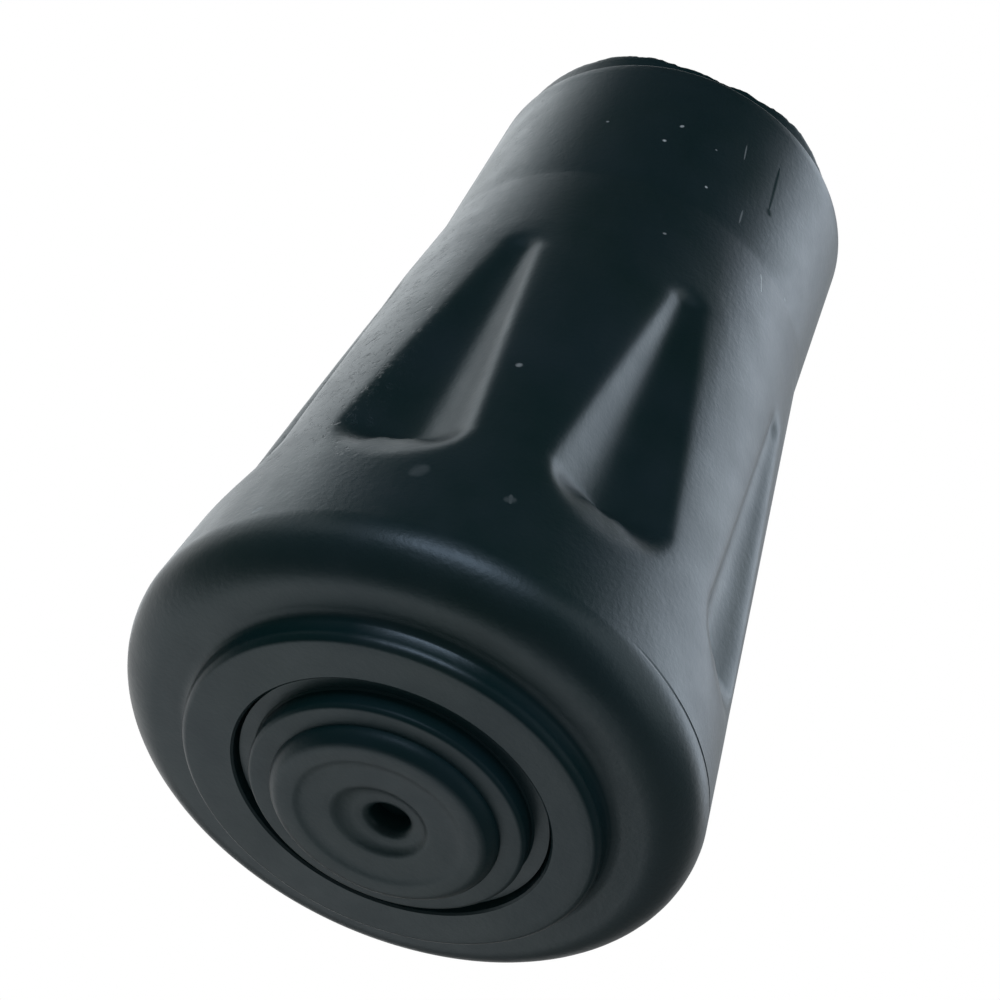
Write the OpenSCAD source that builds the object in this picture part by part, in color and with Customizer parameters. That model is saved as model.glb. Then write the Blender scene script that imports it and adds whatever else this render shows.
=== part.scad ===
// Rubber cane tip: a push-on ferrule for the end of a walking or trekking pole.
// One moulded piece. It stands on its foot, with the bore for the shaft opening upwards.

/* [Overall] */
// Height from the centre pad to the top of the mouth lip
tip_h = 53; // [51:0.5:58]
// Widest diameter, at the foot
foot_d = 30; // [28:0.5:34]

/* [Sleeve and mouth] */
// Height at which the flared body becomes the plain sleeve
waist_z = 39; // [38:0.5:42]
// Diameter where the plain sleeve begins
waist_d = 22.9; // [22.4:0.1:23.6]
// Diameter of the sleeve at its top edge
mouth_d = 22.4; // [21.5:0.1:22.9]
// Height of the lip above the top edge of the sleeve
lip_h = 2; // [1:0.1:2.5]
// How far the lip is set in from the sleeve
lip_set_in = 0.35; // [0.2:0.05:0.8]
// Rounding of the top of the lip
lip_round = 0.5; // [0.2:0.05:0.6]

/* [Bore] */
// Diameter of the blind bore that takes the shaft
bore_d = 12; // [9:0.5:13]
// Depth of the bore below the top of the lip
bore_depth = 36; // [28:0.5:38]
// Size of the lead-in bevel at the mouth of the bore
lead_in = 0.8; // [0.3:0.1:1]

/* [Foot] */
// Rounding of the outer edge of the foot
foot_round = 2.5; // [1.5:0.1:3]
// Height of the flat outer ring of the foot above the ground
ring_z = 2.85; // [2.8:0.05:3.2]
// Diameter of the outer tread step
outer_step_d = 21.5; // [20.5:0.1:22]
// Height of the outer tread step above the ground
outer_step_z = 1.55; // [1.3:0.05:1.6]
// Rounding of the outer tread step's edge
outer_step_round = 0.7; // [0.3:0.05:0.7]
// Fillet between the outer tread step and the flat ring
ring_fillet = 0.55; // [0.3:0.05:0.55]
// Outer diameter of the groove round the middle step
groove_d = 16.2; // [15.6:0.1:17]
// Height of the groove's floor above the ground
groove_z = 1.95; // [1.85:0.05:2.3]
// Diameter of the middle step
middle_step_d = 14.2; // [13.8:0.1:14.8]
// Height of the middle step above the ground
middle_step_z = 0.85; // [0.8:0.05:1]
// Rounding of the middle step's edge
middle_step_round = 0.7; // [0.3:0.05:0.8]
// Diameter of the centre pad, which touches the ground
pad_d = 11.8; // [11:0.1:12.2]
// Rounding of the centre pad's edge
pad_round = 0.75; // [0.3:0.05:0.75]

/* [Centre of the foot] */
// Diameter of the shallow dish in the centre pad
dish_d = 8.4; // [7.6:0.1:9.2]
// Depth of the dish
dish_depth = 0.15; // [0.1:0.05:0.4]
// Diameter of the countersink inside the dish
sink_d = 5.4; // [4.6:0.1:6]
// Depth of the countersink below the dish
sink_depth = 0.6; // [0.3:0.05:0.9]
// Narrowest width of the countersink's flat floor beside the core-pin hole
sink_floor_w = 0.2; // [0.1:0.05:0.3]
// Diameter of the small blind core-pin hole
pin_hole_d = 2.2; // [1.6:0.1:2.6]
// Depth of the core-pin hole above the ground
pin_hole_depth = 5; // [3:0.5:8]
// How far the core-pin hole sits off the axis
pin_hole_offset = 0.4; // [0:0.1:0.6]

/* [Scoops] */
// Number of teardrop scoops round the body
scoop_count = 8; // [6:1:9]
// Height of the centre of a scoop's wide end
scoop_z = 15.4; // [14.4:0.2:17]
// Height at which a scoop runs out, close under the sleeve
scoop_top_z = 37.6; // [34:0.2:38]
// Width of the trough across its wide end
trough_w = 6.2; // [5:0.1:6.2]
// Radius of the trough's cross-section at the wide end
trough_r = 3.2; // [3.2:0.05:4]
// Radius of the trough's cross-section at the top
trough_top_r = 0.4; // [0.3:0.05:0.8]
// Width of the scoop across its softened edge
scoop_w = 7; // [6.8:0.1:7.6]
// Radius of the shallow cut that softens the edge, at the wide end
soft_r = 6.3; // [5:0.1:8]
// Radius of the shallow cut that softens the edge, at the top
soft_top_r = 1.4; // [1:0.1:2]

/* [Hidden] */
$fn = 96;
eps = 0.02;
clear = 1;
// Gap between a scoop's cutter and the body where the scoop has run out
run_out = 0.08;
foot_r = foot_d / 2;
waist_r = waist_d / 2;
widest_z = ring_z + foot_round;
sleeve_top_z = tip_h - lip_h;
bore_floor_z = tip_h - bore_depth;
flare = (foot_r - waist_r) / (waist_z - widest_z);

// Radius of the flared body at height z
function body_r(z) = foot_r - flare * (z - widest_z);

// Half section of a round step that stands down from the foot, with a rounded rim
module step_section(r, z_low, z_high, rim) {
    translate([0, z_low]) square([r - rim, z_high - z_low]);
    translate([0, z_low + rim]) square([r, z_high - z_low - rim]);
    translate([r - rim, z_low + rim]) circle(rim);
}

// Half section of the concave fillet in the corner at radius r under height z
module fillet_section(r, z, size) {
    difference() {
        translate([r - eps, z - size]) square([size + eps, size + eps]);
        translate([r + size, z - size]) circle(size);
    }
}

// Half section of the flared body, the sleeve and the lip round the mouth
module body_section() {
    lip_r = mouth_d / 2 - lip_set_in;
    polygon([
        [0, widest_z], [foot_r, widest_z], [waist_r, waist_z],
        [mouth_d / 2, sleeve_top_z], [0, sleeve_top_z]
    ]);
    translate([0, sleeve_top_z - eps]) square([lip_r, lip_h + eps - lip_round]);
    translate([0, sleeve_top_z]) square([lip_r - lip_round, lip_h]);
    translate([lip_r - lip_round, tip_h - lip_round]) circle(lip_round);
}

// Half section of the stepped foot, from its rounded outer edge to the centre pad
module foot_section() {
    difference() {
        union() {
            step_section(foot_r, ring_z, widest_z + eps, foot_round);
            step_section(outer_step_d / 2, outer_step_z, widest_z, outer_step_round);
            fillet_section(outer_step_d / 2, ring_z, ring_fillet);
        }
        square([groove_d / 2, groove_z]);
    }
    step_section(middle_step_d / 2, middle_step_z, widest_z, middle_step_round);
    step_section(pad_d / 2, 0, widest_z, pad_round);
}

// Half section of the dish and countersink that are sunk in the centre pad
module centre_section() {
    sink_z = dish_depth + sink_depth;
    sink_floor_r = pin_hole_d / 2 + pin_hole_offset + sink_floor_w;
    polygon([
        [0, -clear], [dish_d / 2, -clear], [dish_d / 2, 0], [dish_d / 2 - dish_depth, dish_depth],
        [sink_d / 2, dish_depth], [sink_floor_r, sink_z], [0, sink_z]
    ]);
}

// Distance from the axis at which a round cutter opens a given width in the surface of radius surface_r
function cutter_x(surface_r, cutter_r, width) =
    sqrt(pow(surface_r, 2) - pow(width / 2, 2)) + sqrt(pow(cutter_r, 2) - pow(width / 2, 2));

// A tapered cutter with a ball end, which opens the given width low down and runs out at the top
module scoop_cutter(ball_r, top_r, width) {
    low_x = cutter_x(body_r(scoop_z), ball_r, width);
    top_x = body_r(scoop_top_z) + top_r + run_out;
    rise = scoop_top_z - scoop_z;
    lean = atan((low_x - top_x) / rise);
    length = rise / cos(lean);
    translate([low_x, 0, scoop_z]) rotate([0, -lean, 0])
        rotate_extrude() {
            intersection() {
                circle(ball_r);
                translate([0, -ball_r]) square([ball_r, 2 * ball_r]);
            }
            polygon([[0, 0], [ball_r, 0], [top_r, length], [0, length]]);
        }
}

// One teardrop scoop: a deep trough, and a wider shallow cut that softens its edge
module scoop() {
    scoop_cutter(trough_r, trough_top_r, trough_w);
    scoop_cutter(soft_r, soft_top_r, scoop_w);
}

// Blind bore for the shaft, with a bevel at its mouth
module bore() {
    translate([0, 0, bore_floor_z]) cylinder(h = bore_depth + clear, d = bore_d);
    translate([0, 0, tip_h - lead_in])
        cylinder(h = lead_in + eps, d1 = bore_d, d2 = bore_d + 2 * (lead_in + eps));
}

module cane_tip() {
    color("#1f2729")
    difference() {
        rotate_extrude() {
            body_section();
            foot_section();
        }
        bore();
        rotate_extrude() centre_section();
        translate([pin_hole_offset, 0, -clear])
            cylinder(h = pin_hole_depth + clear, d = pin_hole_d);
        for (i = [0 : scoop_count - 1]) rotate(i * 360 / scoop_count) scoop();
    }
}

cane_tip();
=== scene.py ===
import math
import bpy
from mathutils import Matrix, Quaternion, Vector, noise


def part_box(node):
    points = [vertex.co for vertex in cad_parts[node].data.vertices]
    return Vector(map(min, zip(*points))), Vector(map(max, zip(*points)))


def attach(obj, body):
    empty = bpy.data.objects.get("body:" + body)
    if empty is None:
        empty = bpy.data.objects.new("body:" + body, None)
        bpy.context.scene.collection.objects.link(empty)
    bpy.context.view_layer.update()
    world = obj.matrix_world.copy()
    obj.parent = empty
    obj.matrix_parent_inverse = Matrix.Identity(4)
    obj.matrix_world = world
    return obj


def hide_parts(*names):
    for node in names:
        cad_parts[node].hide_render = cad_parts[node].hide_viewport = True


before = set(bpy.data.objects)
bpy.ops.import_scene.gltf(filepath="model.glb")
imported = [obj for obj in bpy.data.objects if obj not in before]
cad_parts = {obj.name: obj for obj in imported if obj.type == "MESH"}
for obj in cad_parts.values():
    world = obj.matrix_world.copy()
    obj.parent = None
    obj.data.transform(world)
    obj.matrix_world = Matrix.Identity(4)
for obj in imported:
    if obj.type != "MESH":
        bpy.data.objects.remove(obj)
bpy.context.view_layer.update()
low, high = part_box("cane_tip")
mm = 0.001

# the moulded body, in millimetres from the ground up
tip = {
    "height": (high.z - low.z) / mm, "footRadius": (high.x - low.x) / 2 / mm,
    "footRound": 2.5, "ringHeight": 2.85, "ringFillet": 0.7, "filletShare": 0.32,
    "stepRadius": 10.75, "stepHeight": 1.55, "stepRound": 0.4, "roundShare": 0.38,
    "grooveRadius": 8.1, "grooveHeight": 2.0, "creaseHeight": 2.2, "creaseWidth": 0.16,
    "middleRadius": 7.1, "middleHeight": 0.85, "middleRound": 0.28,
    "padRadius": 5.85, "padRound": 0.85, "dishRadius": 4.3, "dishDepth": 0.15,
    "sinkRadius": 2.45, "sinkDepth": 0.45, "pinRadius": 1.0, "pinDepth": 1.7, "pinRound": 0.4,
    "waistHeight": 39.0, "waistRadius": 11.45, "mouthRadius": 11.2, "sleeveRound": 0.14,
    "lipHeight": 2.0, "lipSetIn": 0.35, "lipRound": 0.3, "faceRadius": 9.6,
    "boreRadius": 6.0, "boreDepth": 36.0, "leadIn": 0.8,
    "turns": 320, "ringStep": 0.26, "closest": 0.002, "smoothAngle": 35,
}
# the mould's marks: its parting line round part of the foot, and a centre insert that sat to one side
mould = {
    "partingHeight": 5.7, "partingDepth": 0.06, "partingWidth": 0.09, "partingTurn": -45, "partingSpan": 32,
    "partingPoints": (-1.6, -1, -0.5, 0, 0.5, 1, 1.6), "partingReach": 1.2, "partingInner": 12,
    "centreShift": (0.15, -0.1), "pinShift": (0.35, -0.16), "insertTop": 5.1, "insertGap": 0.2,
}
# each hollow is a teardrop, rounded like a spoon across and rolled over at its wide end
scoop = {
    "count": 8, "height": 14.2, "radius": 3.65, "endReach": 4.1, "topHeight": 30.6, "topRadius": 1.0,
    "sideDraft": 36, "flat": 0.3, "edgeSoftness": 0.3, "topSoftness": 0.5, "sinkIn": 0.1,
    # share of the way from the outline to the middle of the wide end, and the slope there
    "roll": ((0, 0.18), (0.5, 0.3), (0.57, 0.95), (0.72, 0.95), (0.86, 0.15), (1, 0)),
    "rollFrom": 0.35, "rollFade": 2.5, "margin": 1.5, "lowest": 7, "highest": 36, "innermost": 10.5,
}


def deselectAll():
    bpy.ops.object.select_all(action="DESELECT")


def clamp(value, least=0, most=1):
    return max(least, min(most, value))


def smooth(share):
    return share * share * (3 - 2 * share)


def arc(centre, radius, start, end, steps):
    wide, tall = radius if isinstance(radius, tuple) else (radius, radius)
    turn = (end - start) / steps
    angles = [math.radians(start + turn * i) for i in range(steps + 1)]
    return [(centre[0] + wide * math.cos(a), centre[1] + tall * math.sin(a)) for a in angles]


def straight(start, end, step):
    count = max(1, round(math.dist(start, end) / step))
    return [(start[0] + (end[0] - start[0]) * i / count, start[1] + (end[1] - start[1]) * i / count)
            for i in range(count + 1)]


def sideRadius(height):
    foot = (tip["footRadius"], tip["ringHeight"] + tip["footRound"])
    waist = (tip["waistRadius"], tip["waistHeight"])
    mouth = (tip["mouthRadius"], tip["height"] - tip["lipHeight"])
    start, end = (foot, waist) if height < waist[1] else (waist, mouth)
    return start[0] + (end[0] - start[0]) * (height - start[1]) / (end[1] - start[1])


def centreOutline():
    # the pin hole, the countersink and the shallow dish that runs out to the pad
    pin, pinRound, sinkDepth = tip["pinRadius"], tip["pinRound"], tip["sinkDepth"]
    sink, dish, dishDepth = tip["sinkRadius"], tip["dishRadius"], tip["dishDepth"]
    points = [(0, tip["pinDepth"])]
    points += straight((pin, tip["pinDepth"]), (pin, sinkDepth + pinRound), step=1.4)
    points += arc((pin + pinRound, sinkDepth + pinRound), pinRound, 180, 270, steps=3)[1:]
    points += [(1.7, sinkDepth - 0.02), (sink - 0.45, sinkDepth - 0.06)]
    points += [(sink - 0.15, dishDepth + 0.1), (sink, dishDepth + 0.02)]
    points += straight((sink + 0.15, dishDepth), (dish - 0.4, dishDepth - 0.03), step=0.3)
    return points + [(dish - 0.12, 0.07), (dish, 0.03), (dish + 0.15, 0.01)]


def stepsOutline():
    # the pad, the middle step, the groove with its crease, the outer step and the flat ring
    pad, padRound, middle = tip["padRadius"], tip["padRound"], tip["middleRadius"]
    middleRound, middleHeight = tip["middleRound"], tip["middleHeight"]
    points = [(pad - padRound, 0)]
    points += arc((pad - padRound, middleHeight), (padRound, middleHeight), -90, 0, steps=8)[1:]
    points += straight((pad + 0.05, middleHeight), (middle - middleRound, middleHeight), step=0.4)
    points += arc((middle - middleRound, middleHeight + middleRound), middleRound, -90, 0, steps=6)[1:]
    groove, grooveHeight = tip["grooveRadius"], tip["grooveHeight"]
    crease = groove - tip["creaseWidth"]
    points += [(middle, grooveHeight - 0.1), (middle + 0.1, grooveHeight)]
    points += straight((middle + 0.25, grooveHeight), (crease, grooveHeight), step=0.3)
    points += [(crease + tip["creaseWidth"] / 2, tip["creaseHeight"]), (groove, grooveHeight - 0.1)]
    step, stepRound, stepHeight = tip["stepRadius"], tip["stepRound"], tip["stepHeight"]
    points += [(groove + 0.03, stepHeight + 0.1), (groove + 0.15, stepHeight)]
    points += straight((groove + 0.4, stepHeight), (step - stepRound, stepHeight), step=0.5)
    ring, fillet = tip["ringHeight"], tip["ringFillet"]
    roundTall, filletTall = (ring - stepHeight) * tip["roundShare"], (ring - stepHeight) * tip["filletShare"]
    points += arc((step - stepRound, stepHeight + roundTall), (stepRound, roundTall), -90, 0, steps=6)[1:]
    points += arc((step + fillet, ring - filletTall), (fillet, filletTall), 180, 90, steps=6)[1:]
    edge = (tip["footRadius"] - tip["footRound"], ring + tip["footRound"])
    return points + arc(edge, tip["footRound"], -90, 0, steps=14)


def sideOutline():
    points = []
    for offset in mould["partingPoints"]:
        height = mould["partingHeight"] + offset * mould["partingWidth"]
        points.append((sideRadius(height), height))
    while height < tip["waistHeight"] - tip["ringStep"]:
        height += tip["ringStep"]
        points.append((sideRadius(height), height))
    edge, top = tip["mouthRadius"], tip["height"] - tip["lipHeight"] - tip["sleeveRound"]
    points += straight((tip["waistRadius"], tip["waistHeight"]), (edge, top), step=0.6)
    return points + arc((edge - tip["sleeveRound"], top), tip["sleeveRound"], 0, 90, steps=3)[1:]


def mouthOutline():
    # the lip, its face, which is finer near the rim, and the bore down to its floor
    top, floor = tip["height"], tip["height"] - tip["boreDepth"]
    edge, lipRound, bore = tip["mouthRadius"] - tip["lipSetIn"], tip["lipRound"], tip["boreRadius"]
    points = straight((edge, top - tip["lipHeight"]), (edge, top - lipRound), step=0.34)
    points += arc((edge - lipRound, top - lipRound), lipRound, 0, 90, steps=3)[1:]
    points += straight((edge - lipRound - 0.15, top), (tip["faceRadius"], top), step=0.15)
    points += straight((tip["faceRadius"] - 0.6, top), (bore + tip["leadIn"], top), step=1.2)
    points += straight((bore, top - tip["leadIn"]), (bore, floor), step=5)
    return points + [(bore / 2, floor), (0, floor)]


def drawOutline(name, points):
    deselectAll()
    bpy.ops.mesh.primitive_plane_add(size=mm)
    body = bpy.context.object
    body.name = name
    bpy.ops.object.mode_set(mode="EDIT")
    bpy.ops.mesh.merge(type="CENTER")
    bpy.ops.transform.translate(value=(points[0][0] * mm, 0, points[0][1] * mm))
    last = points[0]
    for point in points[1:]:
        if math.dist(point, last) < tip["closest"]:
            continue
        move = ((point[0] - last[0]) * mm, 0, (point[1] - last[1]) * mm)
        bpy.ops.mesh.extrude_region_move(TRANSFORM_OT_translate={"value": move})
        last = point
    return body


def spinBody(body):
    bpy.ops.mesh.select_all(action="SELECT")
    bpy.ops.mesh.spin(steps=tip["turns"], angle=math.tau, center=(0, 0, 0), axis=(0, 0, 1), use_auto_merge=True)
    bpy.ops.mesh.select_all(action="SELECT")
    bpy.ops.mesh.remove_doubles(threshold=0.000001)
    bpy.ops.mesh.normals_make_consistent(inside=False)
    bpy.ops.object.mode_set(mode="OBJECT")


def pushIn(vertex, side, depth):
    vertex.co.x *= (side - depth) / side
    vertex.co.y *= (side - depth) / side


def rollDepth(share):
    # adds up the slope from the outline to the middle of the wide end
    depth = total = 0
    for (start, slope), (end, nextSlope) in zip(scoop["roll"], scoop["roll"][1:]):
        part = clamp((share - start) / (end - start))
        depth += (end - start) * (slope * part + (nextSlope - slope) * part * part / 2)
        total += (end - start) * (slope + nextSlope) / 2
    return depth / total


def scoopDepth(across, height):
    # how far inside the teardrop the spot lies, as a share of the half width there
    rise = scoop["topHeight"] - scoop["height"]
    lean = (scoop["radius"] - scoop["topRadius"]) / rise
    along = (height - scoop["height"]) + abs(across) * lean / math.sqrt(1 - lean * lean)
    along = clamp(along, 0, rise)
    reach = scoop["radius"] - lean * along
    below = height - scoop["height"] - along
    if below < 0:
        below *= scoop["radius"] / scoop["endReach"]
    away = math.hypot(across, below)
    inside = reach - away
    if inside < -scoop["margin"]:
        return 0
    soft = scoop["edgeSoftness"] * (1 + scoop["topSoftness"] * along / rise)
    share = clamp((math.sqrt(inside * inside + soft * soft) + inside - scoop["sinkIn"] * soft) / 2 / reach)
    # the spoon: an even slope over the flat share, then rounding off to the middle
    flat = scoop["flat"]
    floor = math.tan(math.radians(scoop["sideDraft"])) * reach * (1 + flat) / 2
    late = max(0, share - flat)
    spoon = (share - late * late / (1 - flat) / 2) * 2 / (1 + flat)
    # the wide end rolls over instead, the more so the nearer the spot is to straight below the middle
    ending = clamp((-below / max(0.001, away) - scoop["rollFrom"]) / (1 - scoop["rollFrom"]))
    ending = smooth(ending) * min(1, scoop["rollFade"] * away / reach)
    return floor * (spoon + (rollDepth(share) - spoon) * ending)


def pressScoops(body):
    pitch = math.tau / scoop["count"]
    for vertex in body.data.vertices:
        spot = vertex.co / mm
        side = math.hypot(spot.x, spot.y)
        if not scoop["lowest"] < spot.z < scoop["highest"] or side < scoop["innermost"]:
            continue
        turn = math.atan2(spot.y, spot.x)
        turn -= pitch * round(turn / pitch)
        pushIn(vertex, side, max(0, scoopDepth(turn * side, spot.z)))


def pressParting(body):
    # a faint dent all along the line, which fades out at both ends
    for vertex in body.data.vertices:
        spot = vertex.co / mm
        offset = (spot.z - mould["partingHeight"]) / mould["partingWidth"]
        side = math.hypot(spot.x, spot.y)
        if abs(offset) > mould["partingReach"] or side < mould["partingInner"]:
            continue
        away = abs(math.degrees(math.atan2(spot.y, spot.x)) - mould["partingTurn"]) / mould["partingSpan"]
        pushIn(vertex, side, mould["partingDepth"] * max(0, 1 - away * away) * max(0, 1 - offset * offset))


# the flash round the mouth stands up unevenly: angle from +X and height above the sleeve
lip = {
    "heights": (
        (-180, 1.9), (-160, 2), (-145, 1.9), (-131, 1.55), (-119, 0.95), (-107, 0.65), (-94, 1), (-77, 1.5),
        (-60, 0.8), (-47, 0.7), (-34, 1.1), (10, 1.4), (60, 0.8), (120, 1.3), (180, 1.9),
    ),
    "tear": 0.16, "tearScale": 9, "fringe": 0.12, "fringeScale": 40, "lowest": 0.25,
    "level": 0.9, "inner": 9.7, "outer": 10.5,
}


def lipHeight(turn):
    angle = math.degrees(turn)
    height = lip["heights"][0][1]
    for (start, startHeight), (end, endHeight) in zip(lip["heights"], lip["heights"][1:]):
        if start <= angle <= end:
            height = startHeight + (endHeight - startHeight) * smooth((angle - start) / (end - start))
    around = Vector((math.cos(turn), math.sin(turn), 0))
    height += lip["tear"] * noise.noise(around * lip["tearScale"])
    height += lip["fringe"] * noise.noise(around * lip["fringeScale"])
    return clamp(height, lip["lowest"], tip["lipHeight"])


def shapeMouth(body):
    # the face round the bore is level, and only its outer rim is torn
    shoulder = tip["height"] - tip["lipHeight"]
    for vertex in body.data.vertices:
        spot = vertex.co / mm
        if spot.z < shoulder + 0.01:
            continue
        rim = clamp((math.hypot(spot.x, spot.y) - lip["inner"]) / (lip["outer"] - lip["inner"]))
        height = lip["level"] + (lipHeight(math.atan2(spot.y, spot.x)) - lip["level"]) * rim * rim
        share = (spot.z - shoulder) / tip["lipHeight"]
        vertex.co.z = (shoulder + share * height) * mm


def shiftCentre(body):
    # the insert moves as a whole, and the pin hole in it a little more
    pinEdge = tip["pinRadius"] + tip["pinRound"]
    for vertex in body.data.vertices:
        spot = vertex.co / mm
        side = math.hypot(spot.x, spot.y)
        if spot.z < mould["insertTop"] and side < tip["grooveRadius"] + mould["insertGap"]:
            vertex.co.x += mould["centreShift"][0] * mm
            vertex.co.y += mould["centreShift"][1] * mm
            near = clamp((tip["sinkRadius"] - side) / (tip["sinkRadius"] - pinEdge))
            vertex.co.x += mould["pinShift"][0] * near * mm
            vertex.co.y += mould["pinShift"][1] * near * mm


# strokes on the side: angle from +X and height of both ends, width, strength
wear = {
    "dust": (
        ((-132.5, 44.4), (-132.2, 44.4), 0.2, 0.5), ((-111.5, 45.3), (-110.8, 45.5), 0.22, 0.7),
        ((-114, 43.5), (-113.8, 43.5), 0.24, 1), ((-99.3, 44.7), (-99.1, 44.7), 0.14, 0.5),
        ((-97.5, 41.1), (-97.3, 41.1), 0.2, 1), ((-102.8, 35.0), (-102.2, 35.1), 0.2, 0.45),
        ((-118.9, 19.1), (-118.4, 19.3), 0.36, 0.4), ((-126, 8.9), (-124.5, 9.6), 0.9, 0.07),
        ((-108.4, 9.0), (-106.8, 9.3), 0.5, 0.08), ((-107.8, 9.5), (-107.3, 8.9), 0.3, 0.12),
        ((-153.9, 5.9), (-152.4, 6.2), 0.4, 0.35), ((-91.5, 46.8), (-90.5, 45.4), 0.1, 0.3),
        ((-84.8, 41.4), (-84.3, 40.2), 0.14, 0.25), ((-71.7, 38.2), (-70.9, 37.8), 0.16, 1),
        ((-71.1, 38.0), (-69.7, 36.9), 0.12, 1), ((-58.9, 39.2), (-58.6, 39.2), 0.3, 0.7),
    ),
    "nicks": (
        ((-79.0, 47.3), (-77.0, 43.2), 0.3, 1.0), ((-77.2, 43.3), (-76.3, 43.0), 0.6, 1.0),
        ((-168.5, 17.0), (-168.1, 16.8), 0.4, 1.0), ((-150.5, 30.5), (-150.1, 30.3), 0.2, 0.5),
        ((-160, 28.3), (-159.6, 28.1), 0.26, 0.6), ((-157, 20.4), (-156.5, 20.2), 0.26, 0.5),
        ((-163, 31.5), (-162.4, 31.2), 0.2, 0.5), ((-155.5, 24.6), (-155, 24.5), 0.16, 0.5),
        ((-165, 24.0), (-164.4, 23.7), 0.24, 0.5), ((-161, 34.2), (-160.5, 34.0), 0.2, 0.4),
    ),
    "strokeCore": 0.1, "strokeEdge": 1.2, "dustColour": (0.33, 0.37, 0.38), "dustDull": 0.3,
    # the strength of the painted shade on the foot's step walls, and the spot where their gloss is kept
    "paintedWallShade": 0.8, "torn": 0.85, "keptGlossSpot": (-4.2, -9.9, 2.2), "pits": 2.5,
}
rubber = {
    "darkColour": (0.0015, 0.0125, 0.0125), "paleColour": (0.004, 0.0145, 0.018), "cloudScale": 0.09,
    "roughLow": 0.35, "roughHigh": 0.43, "smudgeScale": 0.35, "treadDull": 0.05,
    "shine": 0.5, "dullShine": 0.04, "ior": 1.5, "tint": (0.78, 0.92, 1),
    "grainScale": 3.2, "pitScale": 2.3, "bumpStrength": 0.35, "bumpDepth": 0.00004,
}


def combine(tree, kind, first, second):
    node = tree.nodes.new("ShaderNodeMath")
    node.operation = kind
    for socket, value in zip(node.inputs, (first, second)):
        if isinstance(value, (int, float)):
            socket.default_value = value
        else:
            tree.links.new(value, socket)
    return node.outputs[0]


def startMaterial(name):
    material = bpy.data.materials.new(name)
    material.use_nodes = True
    material.node_tree.nodes.clear()
    return material, material.node_tree, material.node_tree.nodes.new("ShaderNodeOutputMaterial")


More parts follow.
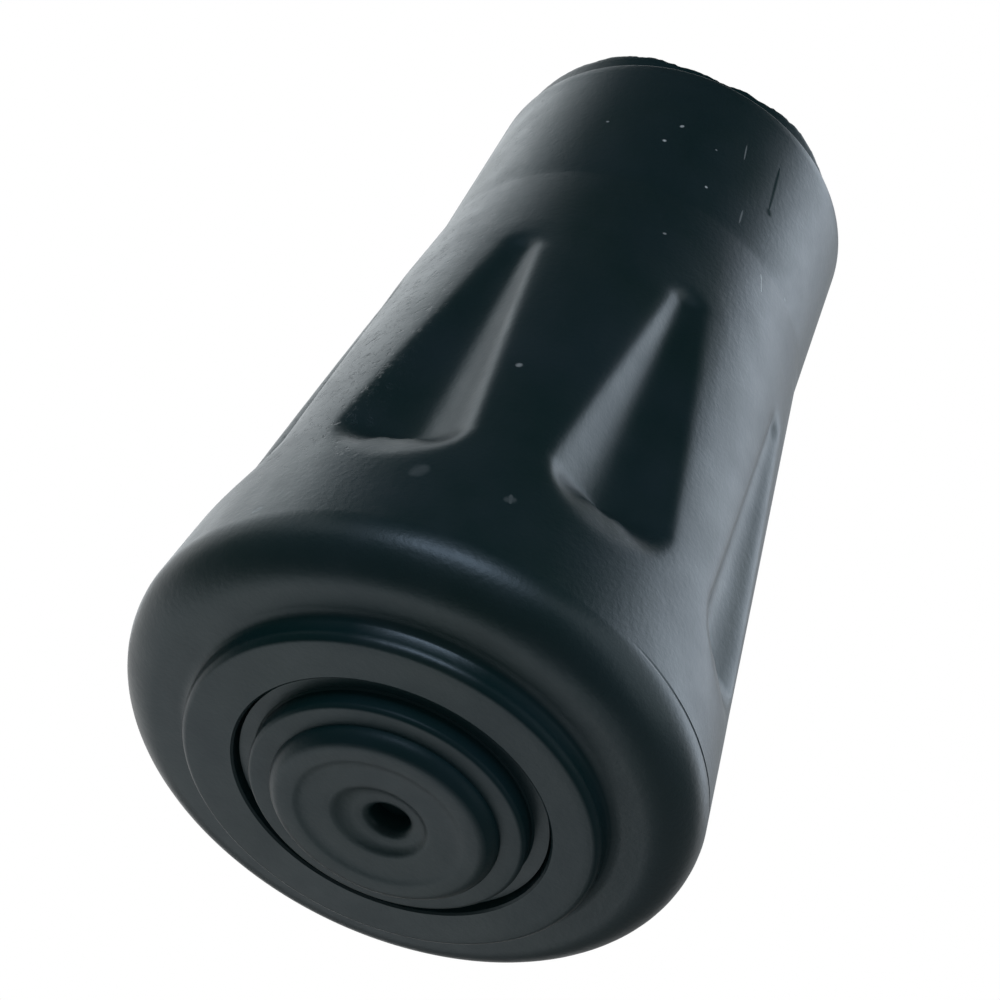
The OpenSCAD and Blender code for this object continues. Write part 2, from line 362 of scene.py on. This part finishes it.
def rubberMaterial():
    material, tree, output = startMaterial("mouldedRubber")
    nodes, links = tree.nodes, tree.links
    shader = nodes.new("ShaderNodeBsdfPrincipled")
    links.new(shader.outputs[0], output.inputs[0])
    coords = nodes.new("ShaderNodeTexCoord")
    mapping = nodes.new("ShaderNodeMapping")
    mapping.inputs["Scale"].default_value = (1 / mm, 1 / mm, 1 / mm)
    links.new(coords.outputs["Object"], mapping.inputs[0])

    def noiseTexture(scale, detail, roughness):
        node = nodes.new("ShaderNodeTexNoise")
        for key, value in (("Scale", scale), ("Detail", detail), ("Roughness", roughness)):
            node.inputs[key].default_value = value
        links.new(mapping.outputs[0], node.inputs["Vector"])
        return node.outputs[0]

    def ramp(source, *stops):
        node = nodes.new("ShaderNodeValToRGB")
        for element, (place, colour) in zip(node.color_ramp.elements, stops):
            element.position = place
            element.color = (*colour, 1) if isinstance(colour, tuple) else (colour, colour, colour, 1)
        links.new(source, node.inputs[0])
        return node.outputs[0]

    def remap(source, fromMin, fromMax, toMin, toMax):
        node = nodes.new("ShaderNodeMapRange")
        for key, value in zip(("From Min", "From Max", "To Min", "To Max"), (fromMin, fromMax, toMin, toMax)):
            node.inputs[key].default_value = value
        links.new(source, node.inputs["Value"])
        return node.outputs[0]

    def wayTo(place):
        node = nodes.new("ShaderNodeVectorMath")
        node.operation = "DISTANCE"
        node.inputs[1].default_value = place
        links.new(mapping.outputs[0], node.inputs[0])
        return node.outputs["Value"]

    def sidePoint(angle, height):
        radius, turn = sideRadius(height), math.radians(angle)
        return Vector((radius * math.cos(turn), radius * math.sin(turn), height))

    def marks(strokes):
        # each stroke is a thin ellipse: inside it the ways to its two ends add up to little more than its length
        total = None
        for startPlace, endPlace, width, level in strokes:
            start, end = sidePoint(*startPlace), sidePoint(*endPlace)
            length = (end - start).length
            over = math.hypot(length, width) - length
            way = combine(tree, "ADD", wayTo(start), wayTo(end))
            core, edge = length + over * wear["strokeCore"], length + over * wear["strokeEdge"]
            mask = remap(way, core, edge, level, 0)
            total = mask if total is None else combine(tree, "MAXIMUM", total, mask)
        return total

    split = nodes.new("ShaderNodeSeparateXYZ")
    links.new(mapping.outputs[0], split.inputs[0])
    dust = marks(wear["dust"])
    nicks = marks(wear["nicks"])

    # a clouded green-black, with the dust on top
    clouds = noiseTexture(rubber["cloudScale"], 3, 0.6)
    colour = ramp(clouds, (0.35, rubber["darkColour"]), (0.65, rubber["paleColour"]))
    mix = nodes.new("ShaderNodeMix")
    mix.data_type = "RGBA"
    links.new(dust, mix.inputs["Factor"])
    links.new(colour, mix.inputs[6])
    mix.inputs[7].default_value = (*wear["dustColour"], 1)
    links.new(mix.outputs[2], shader.inputs["Base Color"])

    # the tread steps are a little duller than the sides
    smudge = noiseTexture(rubber["smudgeScale"], 5, 0.65)
    smudge = ramp(smudge, (0.3, rubber["roughLow"]), (0.7, rubber["roughHigh"]))
    dull = combine(tree, "ADD", smudge, remap(split.outputs["Z"], 2.0, 1.2, 0, rubber["treadDull"]))
    dusty = combine(tree, "MULTIPLY", dust, wear["dustDull"])
    links.new(combine(tree, "ADD", dull, dusty), shader.inputs["Roughness"])

    # the torn flash at the mouth is dull; painted shade lowers the gloss on the tilted walls and rounded edges of
    # the foot's steps towards the front, except round one spot where a streak of gloss stays
    shoulder = tip["height"] - tip["lipHeight"]
    torn = remap(split.outputs["Z"], shoulder + 0.02, shoulder + 0.15, 0, wear["torn"])
    facing = nodes.new("ShaderNodeSeparateXYZ")
    links.new(coords.outputs["Normal"], facing.inputs[0])
    # painted shade: a lower specular level keeps the steps' tilted walls and edges below the ring dark instead of
    # showing the lamps
    shadedRims = remap(facing.outputs["Z"], -0.97, -0.85, 0, wear["paintedWallShade"])
    shadedRims = combine(tree, "MULTIPLY", shadedRims, remap(split.outputs["Z"], 2.7, 2.8, 1, 0))
    shadedRims = combine(tree, "MULTIPLY", shadedRims, remap(split.outputs["Y"], 2, -3, 0, 1))
    shadedRims = combine(tree, "MULTIPLY", shadedRims, remap(wayTo(wear["keptGlossSpot"]), 1.6, 3.4, 0, 1))
    # real dulling from nicks and the torn flash, joined with the painted shade on the step walls
    dullAndShaded = combine(tree, "MAXIMUM", combine(tree, "MAXIMUM", nicks, torn), shadedRims)
    shine = remap(dullAndShaded, 0, 1, rubber["shine"], rubber["dullShine"])
    links.new(shine, shader.inputs["Specular IOR Level"])
    shader.inputs["IOR"].default_value = rubber["ior"]
    shader.inputs["Specular Tint"].default_value = (*rubber["tint"], 1)

    # fine grain all over, and coarser pits on the side that has been rubbed
    grain = noiseTexture(rubber["grainScale"], 3, 0.6)
    pits = noiseTexture(rubber["pitScale"], 4, 0.7)
    rubbed = remap(split.outputs["X"], -9.8, -12.2, 0, wear["pits"])
    rubbed = combine(tree, "MULTIPLY", rubbed, remap(split.outputs["Z"], 8, 13, 0, 1))
    pitted = combine(tree, "MULTIPLY", ramp(pits, (0.3, 0), (0.44, 1)), rubbed)
    bump = nodes.new("ShaderNodeBump")
    bump.inputs["Strength"].default_value = rubber["bumpStrength"]
    bump.inputs["Distance"].default_value = rubber["bumpDepth"]
    links.new(combine(tree, "ADD", grain, pitted), bump.inputs["Height"])
    links.new(bump.outputs[0], shader.inputs["Normal"])
    return material


print("drawing the tip")
body = drawOutline("tip_body", centreOutline() + stepsOutline() + sideOutline() + mouthOutline())
spinBody(body)
print("pressing the scoops")
pressScoops(body)
pressParting(body)
print("shaping the mouth and the centre")
shapeMouth(body)
shiftCentre(body)
deselectAll()
body.select_set(True)
bpy.context.view_layer.objects.active = body
bpy.ops.object.shade_smooth_by_angle(angle=math.radians(tip["smoothAngle"]))
print("mixing the rubber")
body.data.materials.append(rubberMaterial())
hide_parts("cane_tip")
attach(body, "root")


# the camera, in millimetres and degrees: azimuth 0 looks from -Y, and 90 from +X
shot = {
    "aim": (-1.373, 0.334, 23.001), "distance": 129.93, "azimuth": -13.67, "elevation": -44.19, "roll": 26.13,
    "lens": 86.16, "sensor": 36, "nearest": 0.005, "farthest": 20,
}
# lamps and cards stand in metres from the middle; a lamp's strength is its face's brightness, 1 being white
studio = {
    "middle": (0, 0, 0.025), "lampColour": (0.86, 0.95, 1), "daylight": 0.5,
    "floorSize": 6, "floorDrop": 0.00005, "floorShade": 0.86,
    # name, azimuth, elevation, distance, size, strength, and a colour of its own
    "lamps": (
        ("lampRight", 94, 50, 0.4, (0.38, 0.34), 2.3, (0.76, 0.86, 1)),
        ("lampBack", 172, 48, 0.4, (0.46, 0.3), 1),
        ("lampLeft", -118, 54, 0.4, (0.22, 0.34), 0.85),
        ("lampLow", -28, -4, 0.4, (0.24, 0.08), 9.5, (0.74, 0.82, 1)),
    ),
    # name, azimuth, elevation, distance, size and shade of the cards that only the gloss shows
    "cards": (
        ("cardFront", -29, 47, 0.3, (0.62, 0.6), 0.02),
        ("cardUnder", -35, -56, 0.3, (1.3, 0.76), 0.04),
        ("cardLow", 104, -22, 0.32, (0.56, 0.5), 0.18),
        ("cardRear", 145, -9, 0.3, (0.46, 0.17), 0.12),
        ("cardBack", 136, 40, 0.35, (0.28, 0.36), 0.45),
        ("cardLeft", -108, -12, 0.34, (0.3, 0.3), 0.1),
    ),
}


def towards(azimuth, elevation):
    azimuth, elevation = math.radians(azimuth), math.radians(elevation)
    level = math.cos(elevation)
    return Vector((math.sin(azimuth) * level, -math.cos(azimuth) * level, math.sin(elevation)))


def placeCamera():
    back = towards(shot["azimuth"], shot["elevation"])
    data = bpy.data.cameras.new("camera")
    data.lens = shot["lens"]
    data.sensor_width = shot["sensor"]
    data.clip_start = shot["nearest"]
    data.clip_end = shot["farthest"]
    camera = bpy.data.objects.new("camera", data)
    bpy.context.scene.collection.objects.link(camera)
    camera.location = (Vector(shot["aim"]) + back * shot["distance"]) * mm
    camera.rotation_mode = "QUATERNION"
    roll = Quaternion((0, 0, 1), math.radians(shot["roll"]))
    camera.rotation_quaternion = (-back).to_track_quat("-Z", "Y") @ roll
    bpy.context.scene.camera = camera


def hangLamp(name, azimuth, elevation, distance, size, strength, colour=studio["lampColour"]):
    away = towards(azimuth, elevation)
    data = bpy.data.lights.new(name, "AREA")
    data.shape = "RECTANGLE"
    data.size, data.size_y = size
    data.energy = strength * math.pi * size[0] * size[1]
    data.color = colour
    lamp = bpy.data.objects.new(name, data)
    lamp.visible_camera = False
    bpy.context.scene.collection.objects.link(lamp)
    lamp.location = Vector(studio["middle"]) + away * distance
    lamp.rotation_mode = "QUATERNION"
    lamp.rotation_quaternion = (-away).to_track_quat("-Z", "Y")


def buildStudio():
    # white to the camera, the gloss and what shows through, and softer as light on the tip
    world = bpy.data.worlds.new("studio")
    bpy.context.scene.world = world
    world.use_nodes = True
    tree = world.node_tree
    tree.nodes.clear()
    output = tree.nodes.new("ShaderNodeOutputWorld")
    background = tree.nodes.new("ShaderNodeBackground")
    tree.links.new(background.outputs[0], output.inputs[0])
    paths = tree.nodes.new("ShaderNodeLightPath").outputs
    seen = combine(tree, "MAXIMUM", paths["Is Camera Ray"], paths["Is Glossy Ray"])
    seen = combine(tree, "MAXIMUM", seen, paths["Is Transmission Ray"])
    level = tree.nodes.new("ShaderNodeMapRange")
    level.inputs["To Min"].default_value = studio["daylight"]
    level.inputs["To Max"].default_value = 1
    tree.links.new(seen, level.inputs["Value"])
    background.inputs["Color"].default_value = (1, 1, 1, 1)
    tree.links.new(level.outputs[0], background.inputs["Strength"])


def layFloor():
    # seen only by the camera, and only from above
    deselectAll()
    bpy.ops.mesh.primitive_plane_add(size=studio["floorSize"], location=(0, 0, -studio["floorDrop"]))
    floor = bpy.context.object
    floor.name = "floor"
    material, tree, output = startMaterial("paleFloor")
    shade = studio["floorShade"]
    mix = tree.nodes.new("ShaderNodeMixShader")
    clear = tree.nodes.new("ShaderNodeBsdfTransparent")
    matte = tree.nodes.new("ShaderNodeBsdfDiffuse")
    matte.inputs["Color"].default_value = (shade, shade, shade, 1)
    paths = tree.nodes.new("ShaderNodeLightPath")
    geometry = tree.nodes.new("ShaderNodeNewGeometry")
    front = combine(tree, "SUBTRACT", 1, geometry.outputs["Backfacing"])
    shown = combine(tree, "MULTIPLY", paths.outputs["Is Camera Ray"], front)
    for source, socket in zip((shown, clear.outputs[0], matte.outputs[0]), mix.inputs):
        tree.links.new(source, socket)
    tree.links.new(mix.outputs[0], output.inputs[0])
    floor.data.materials.append(material)


def hangCard(name, azimuth, elevation, distance, size, shade):
    deselectAll()
    away = towards(azimuth, elevation)
    bpy.ops.mesh.primitive_plane_add(size=1)
    card = bpy.context.object
    card.name = name
    card.scale = (*size, 1)
    card.rotation_mode = "QUATERNION"
    card.rotation_quaternion = away.to_track_quat("Z", "Y")
    card.location = Vector(studio["middle"]) + away * distance
    material, tree, output = startMaterial(name)
    face = tree.nodes.new("ShaderNodeEmission")
    face.inputs["Color"].default_value = (shade, shade, shade, 1)
    tree.links.new(face.outputs[0], output.inputs[0])
    card.data.materials.append(material)
    card.visible_camera = False
    card.visible_diffuse = False
    card.visible_transmission = False
    card.visible_shadow = False


print("lighting the studio")
placeCamera()
buildStudio()
layFloor()
for lamp in studio["lamps"]:
    hangLamp(*lamp)
for card in studio["cards"]:
    hangCard(*card)
bpy.context.scene.view_settings.view_transform = "Standard"
